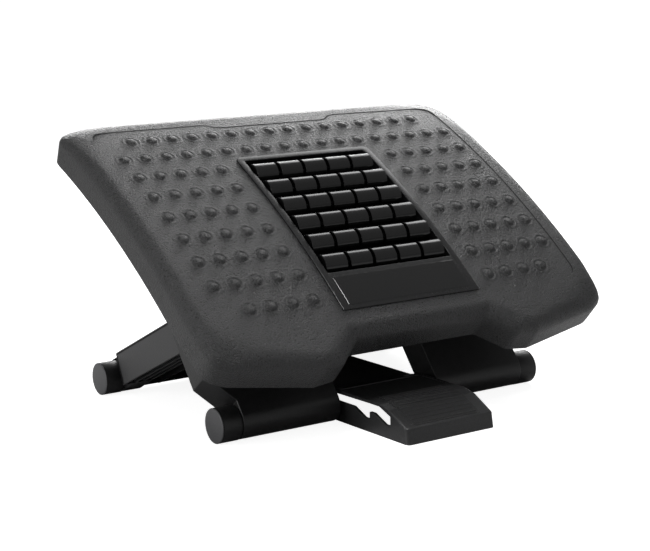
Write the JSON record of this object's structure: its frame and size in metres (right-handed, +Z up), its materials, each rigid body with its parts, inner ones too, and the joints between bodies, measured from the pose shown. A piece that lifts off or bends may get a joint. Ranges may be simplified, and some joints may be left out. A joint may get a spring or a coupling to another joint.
{
  "type": "tilting under desk footrest",
  "caption": "Curved footrest board with massage bumps and a roller bay, on crossing folding legs that tilt the board and lock at stepped heights in a notched floor pedal.",
  "frame": {"origin": "on the floor, below the middle of the bounding box", "axes": "+X to the right as seen from the front, +Y towards the rear where the board is high, +Z up"},
  "size_m": [0.45, 0.3577, 0.27],
  "materials": {
    "board_plastic": "fine grained, satin",
    "frame_plastic": "smooth satin",
    "panel_gloss": "gloss",
    "roller_gloss": "gloss",
    "steel": "plain round rod",
    "cap_plastic": "satin",
    "foot_rubber": "satin",
    "leg_plastic": "fine grained, satin",
    "pedal_plastic": "fine grained, satin",
    "tread_rubber": "ribbed, matte"
  },
  "bodies": {
    "pedal": {"pedal": "pedal_plastic", "pedal_tread": "tread_rubber"},
    "rear_rod": {"rear_foot_rod": "steel"},
    "rear_feet": {"rear_foot_left": "foot_rubber", "rear_foot_right": "foot_rubber", "rear_foot_cap_left": "cap_plastic", "rear_foot_cap_right": "cap_plastic"},
    "rear_leg": {"rear_leg": "leg_plastic"},
    "front_hinge": {"front_hinge_rod": "steel"},
    "board": {"board_shell": "board_plastic", "roller_frame": "frame_plastic", "cover_panel": "panel_gloss", "roller_axle_1": "steel", "roller_axle_2": "steel", "roller_axle_3": "steel", "roller_axle_4": "steel", "roller_axle_5": "steel", "roller_axle_6": "steel"},
    "rear_hinge": {"rear_hinge_pin_left": "steel", "rear_hinge_pin_right": "steel"},
    "front_leg": {"front_leg": "leg_plastic", "front_foot_left": "foot_rubber", "front_foot_right": "foot_rubber", "front_foot_cap_left": "cap_plastic", "front_foot_cap_right": "cap_plastic", "lock_rod_left": "steel", "lock_rod_right": "steel"},
    "roller_1_1": {"roller_1_1": "roller_gloss"},
    "roller_1_2": {"roller_1_2": "roller_gloss"},
    "roller_1_3": {"roller_1_3": "roller_gloss"},
    "roller_1_4": {"roller_1_4": "roller_gloss"},
    "roller_1_5": {"roller_1_5": "roller_gloss"},
    "roller_2_1": {"roller_2_1": "roller_gloss"},
    "roller_2_2": {"roller_2_2": "roller_gloss"},
    "roller_2_3": {"roller_2_3": "roller_gloss"},
    "roller_2_4": {"roller_2_4": "roller_gloss"},
    "roller_2_5": {"roller_2_5": "roller_gloss"},
    "roller_3_1": {"roller_3_1": "roller_gloss"},
    "roller_3_2": {"roller_3_2": "roller_gloss"},
    "roller_3_3": {"roller_3_3": "roller_gloss"},
    "roller_3_4": {"roller_3_4": "roller_gloss"},
    "roller_3_5": {"roller_3_5": "roller_gloss"},
    "roller_4_1": {"roller_4_1": "roller_gloss"},
    "roller_4_2": {"roller_4_2": "roller_gloss"},
    "roller_4_3": {"roller_4_3": "roller_gloss"},
    "roller_4_4": {"roller_4_4": "roller_gloss"},
    "roller_4_5": {"roller_4_5": "roller_gloss"},
    "roller_5_1": {"roller_5_1": "roller_gloss"},
    "roller_5_2": {"roller_5_2": "roller_gloss"},
    "roller_5_3": {"roller_5_3": "roller_gloss"},
    "roller_5_4": {"roller_5_4": "roller_gloss"},
    "roller_5_5": {"roller_5_5": "roller_gloss"},
    "roller_6_1": {"roller_6_1": "roller_gloss"},
    "roller_6_2": {"roller_6_2": "roller_gloss"},
    "roller_6_3": {"roller_6_3": "roller_gloss"},
    "roller_6_4": {"roller_6_4": "roller_gloss"},
    "roller_6_5": {"roller_6_5": "roller_gloss"}
  },
  "joints": [
    {"name": "frame_lift", "type": "hinge", "parent": "pedal", "child": "rear_rod", "pos_m": [0, 0.1626, 0.0162], "axis": [-1, 0, 0], "range_deg": [0, 1.9]},
    {"name": "height", "type": "hinge", "parent": "rear_rod", "child": "rear_feet", "pos_m": [0, 0.1626, 0.0162], "axis": [1, 0, 0], "range_deg": [0, 17.32]},
    {"name": "tilt_rear_foot", "type": "hinge", "parent": "rear_feet", "child": "rear_leg", "pos_m": [0, 0.1626, 0.0162], "axis": [1, 0, 0], "range_deg": [-10.87, 0]},
    {"name": "height_front_hinge", "type": "hinge", "parent": "rear_leg", "child": "front_hinge", "pos_m": [0, -0.05912, 0.11491], "axis": [1, 0, 0], "range_deg": [-49.45, 0]},
    {"name": "tilt", "type": "hinge", "parent": "front_hinge", "child": "board", "pos_m": [0, -0.05912, 0.11491], "axis": [1, 0, 0], "range_deg": [-21.86, 0]},
    {"name": "height_rear_hinge", "type": "hinge", "parent": "board", "child": "rear_hinge", "pos_m": [0, 0.08492, 0.20745], "axis": [1, 0, 0], "range_deg": [-12.79, 0]},
    {"name": "tilt_rear_hinge", "type": "hinge", "parent": "rear_hinge", "child": "front_leg", "pos_m": [0, 0.08492, 0.20745], "axis": [1, 0, 0], "range_deg": [0, 15.59]},
    {"name": "roller_1_1_spin", "type": "hinge", "parent": "board", "child": "roller_1_1", "pos_m": [0, 0.044, 0.22107], "axis": [1, 0, 0], "continuous": true},
    {"name": "roller_1_2_spin", "type": "hinge", "parent": "board", "child": "roller_1_2", "pos_m": [0, 0.044, 0.22107], "axis": [1, 0, 0], "continuous": true},
    {"name": "roller_1_3_spin", "type": "hinge", "parent": "board", "child": "roller_1_3", "pos_m": [0, 0.044, 0.22107], "axis": [1, 0, 0], "continuous": true},
    {"name": "roller_1_4_spin", "type": "hinge", "parent": "board", "child": "roller_1_4", "pos_m": [0, 0.044, 0.22107], "axis": [1, 0, 0], "continuous": true},
    {"name": "roller_1_5_spin", "type": "hinge", "parent": "board", "child": "roller_1_5", "pos_m": [0, 0.044, 0.22107], "axis": [1, 0, 0], "continuous": true},
    {"name": "roller_2_1_spin", "type": "hinge", "parent": "board", "child": "roller_2_1", "pos_m": [0, 0.02046, 0.2077], "axis": [1, 0, 0], "continuous": true},
    {"name": "roller_2_2_spin", "type": "hinge", "parent": "board", "child": "roller_2_2", "pos_m": [0, 0.02046, 0.2077], "axis": [1, 0, 0], "continuous": true},
    {"name": "roller_2_3_spin", "type": "hinge", "parent": "board", "child": "roller_2_3", "pos_m": [0, 0.02046, 0.2077], "axis": [1, 0, 0], "continuous": true},
    {"name": "roller_2_4_spin", "type": "hinge", "parent": "board", "child": "roller_2_4", "pos_m": [0, 0.02046, 0.2077], "axis": [1, 0, 0], "continuous": true},
    {"name": "roller_2_5_spin", "type": "hinge", "parent": "board", "child": "roller_2_5", "pos_m": [0, 0.02046, 0.2077], "axis": [1, 0, 0], "continuous": true},
    {"name": "roller_3_1_spin", "type": "hinge", "parent": "board", "child": "roller_3_1", "pos_m": [0, -0.00269, 0.19367], "axis": [1, 0, 0], "continuous": true},
    {"name": "roller_3_2_spin", "type": "hinge", "parent": "board", "child": "roller_3_2", "pos_m": [0, -0.00269, 0.19367], "axis": [1, 0, 0], "continuous": true},
    {"name": "roller_3_3_spin", "type": "hinge", "parent": "board", "child": "roller_3_3", "pos_m": [0, -0.00269, 0.19367], "axis": [1, 0, 0], "continuous": true},
    {"name": "roller_3_4_spin", "type": "hinge", "parent": "board", "child": "roller_3_4", "pos_m": [0, -0.00269, 0.19367], "axis": [1, 0, 0], "continuous": true},
    {"name": "roller_3_5_spin", "type": "hinge", "parent": "board", "child": "roller_3_5", "pos_m": [0, -0.00269, 0.19367], "axis": [1, 0, 0], "continuous": true},
    {"name": "roller_4_1_spin", "type": "hinge", "parent": "board", "child": "roller_4_1", "pos_m": [0, -0.02543, 0.17898], "axis": [1, 0, 0], "continuous": true},
    {"name": "roller_4_2_spin", "type": "hinge", "parent": "board", "child": "roller_4_2", "pos_m": [0, -0.02543, 0.17898], "axis": [1, 0, 0], "continuous": true},
    {"name": "roller_4_3_spin", "type": "hinge", "parent": "board", "child": "roller_4_3", "pos_m": [0, -0.02543, 0.17898], "axis": [1, 0, 0], "continuous": true},
    {"name": "roller_4_4_spin", "type": "hinge", "parent": "board", "child": "roller_4_4", "pos_m": [0, -0.02543, 0.17898], "axis": [1, 0, 0], "continuous": true},
    {"name": "roller_4_5_spin", "type": "hinge", "parent": "board", "child": "roller_4_5", "pos_m": [0, -0.02543, 0.17898], "axis": [1, 0, 0], "continuous": true},
    {"name": "roller_5_1_spin", "type": "hinge", "parent": "board", "child": "roller_5_1", "pos_m": [0, -0.04774, 0.16364], "axis": [1, 0, 0], "continuous": true},
    {"name": "roller_5_2_spin", "type": "hinge", "parent": "board", "child": "roller_5_2", "pos_m": [0, -0.04774, 0.16364], "axis": [1, 0, 0], "continuous": true},
    {"name": "roller_5_3_spin", "type": "hinge", "parent": "board", "child": "roller_5_3", "pos_m": [0, -0.04774, 0.16364], "axis": [1, 0, 0], "continuous": true},
    {"name": "roller_5_4_spin", "type": "hinge", "parent": "board", "child": "roller_5_4", "pos_m": [0, -0.04774, 0.16364], "axis": [1, 0, 0], "continuous": true},
    {"name": "roller_5_5_spin", "type": "hinge", "parent": "board", "child": "roller_5_5", "pos_m": [0, -0.04774, 0.16364], "axis": [1, 0, 0], "continuous": true},
    {"name": "roller_6_1_spin", "type": "hinge", "parent": "board", "child": "roller_6_1", "pos_m": [0, -0.06959, 0.14766], "axis": [1, 0, 0], "continuous": true},
    {"name": "roller_6_2_spin", "type": "hinge", "parent": "board", "child": "roller_6_2", "pos_m": [0, -0.06959, 0.14766], "axis": [1, 0, 0], "continuous": true},
    {"name": "roller_6_3_spin", "type": "hinge", "parent": "board", "child": "roller_6_3", "pos_m": [0, -0.06959, 0.14766], "axis": [1, 0, 0], "continuous": true},
    {"name": "roller_6_4_spin", "type": "hinge", "parent": "board", "child": "roller_6_4", "pos_m": [0, -0.06959, 0.14766], "axis": [1, 0, 0], "continuous": true},
    {"name": "roller_6_5_spin", "type": "hinge", "parent": "board", "child": "roller_6_5", "pos_m": [0, -0.06959, 0.14766], "axis": [1, 0, 0], "continuous": true}
  ],
  "couplings": [
    {"joint": "tilt_rear_foot", "follows": "tilt", "ratio": 0.4968},
    {"joint": "tilt_rear_hinge", "follows": "tilt", "ratio": -0.7126},
    {"joint": "height_front_hinge", "follows": "height", "ratio": -2.854},
    {"joint": "height_rear_hinge", "follows": "height", "ratio": -0.7377}
  ]
}
